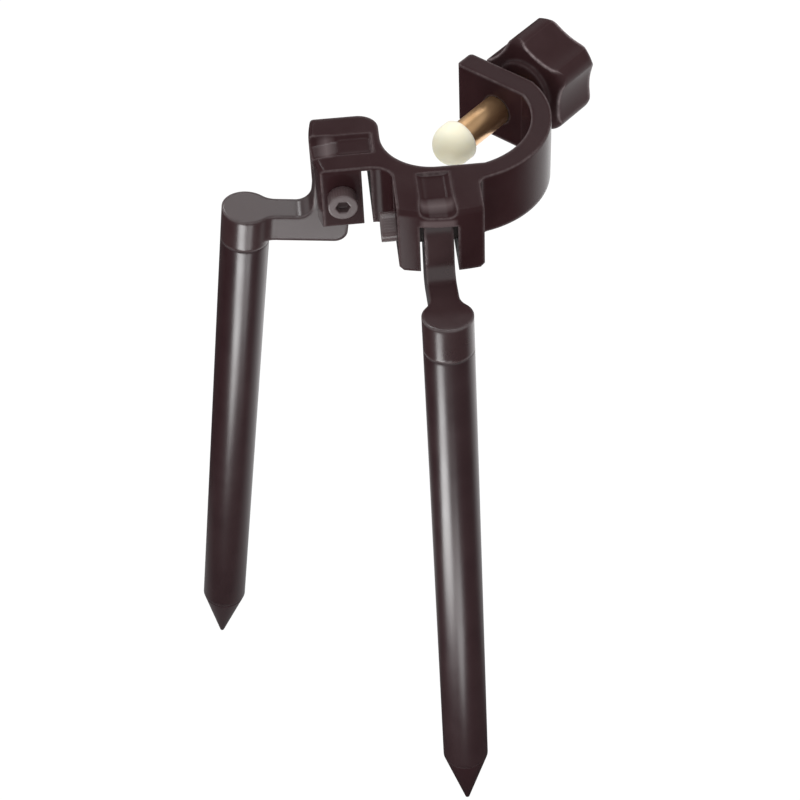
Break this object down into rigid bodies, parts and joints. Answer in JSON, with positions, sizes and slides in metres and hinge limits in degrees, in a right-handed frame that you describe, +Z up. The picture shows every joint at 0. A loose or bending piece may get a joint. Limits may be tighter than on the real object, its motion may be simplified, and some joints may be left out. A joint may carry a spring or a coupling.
{
  "type": "prism pole bipod",
  "caption": "Short bipod that hooks onto a thin surveying pole with a V seat and a nylon-tipped thumbscrew, and props it on folding pointed legs.",
  "frame": {"origin": "centre of the pole opening at mid height of the clamp ring", "axes": "+Z up along the pole, +Y along the thumbscrew towards its knob, legs towards -Y, open mouth of the hook towards -X"},
  "size_m": [0.081, 0.0812, 0.1451],
  "materials": {
    "black_casting": "satin",
    "black_tube": "semi-gloss",
    "brass": "satin",
    "nylon": "matte",
    "black_plastic": "matte",
    "dark_steel": "black oxide",
    "washer": "matte"
  },
  "bodies": {
    "clamp": {"clamp_body": "black_casting", "left_pivot_bolt": "dark_steel", "right_pivot_bolt": "dark_steel", "left_inner_washer": "washer", "left_outer_washer": "washer", "right_inner_washer": "washer", "right_outer_washer": "washer"},
    "left_leg": {"left_leg_head": "black_casting", "left_leg_tube": "black_tube", "left_leg_point": "black_tube"},
    "right_leg": {"right_leg_head": "black_casting", "right_leg_tube": "black_tube", "right_leg_point": "black_tube"},
    "tip": {"screw_tip": "nylon"},
    "thumbscrew": {"clamp_screw": "brass", "knob": "black_plastic"}
  },
  "joints": [
    {"name": "left_leg_fold", "type": "hinge", "parent": "clamp", "child": "left_leg", "pos_m": [-0.01184, -0.01955, 0], "axis": [-0.7071, 0.7071, 0], "range_deg": [-15.5, 42]},
    {"name": "right_leg_fold", "type": "hinge", "parent": "clamp", "child": "right_leg", "pos_m": [0.01184, -0.01955, 0], "axis": [-0.7071, -0.7071, 0], "range_deg": [-15.5, 42]},
    {"name": "screw_travel", "type": "slide", "parent": "clamp", "child": "tip", "axis": [0, 1, 0], "range_m": [-0.0032, 0.0112]},
    {"name": "screw_turn", "type": "hinge", "parent": "tip", "child": "thumbscrew", "pos_m": [0, 0, 0], "axis": [0, 1, 0], "range_deg": [-1155, 4035]}
  ],
  "couplings": [
    {"joint": "screw_turn", "follows": "screw_travel", "rad_per_m": 6283.2}
  ]
}
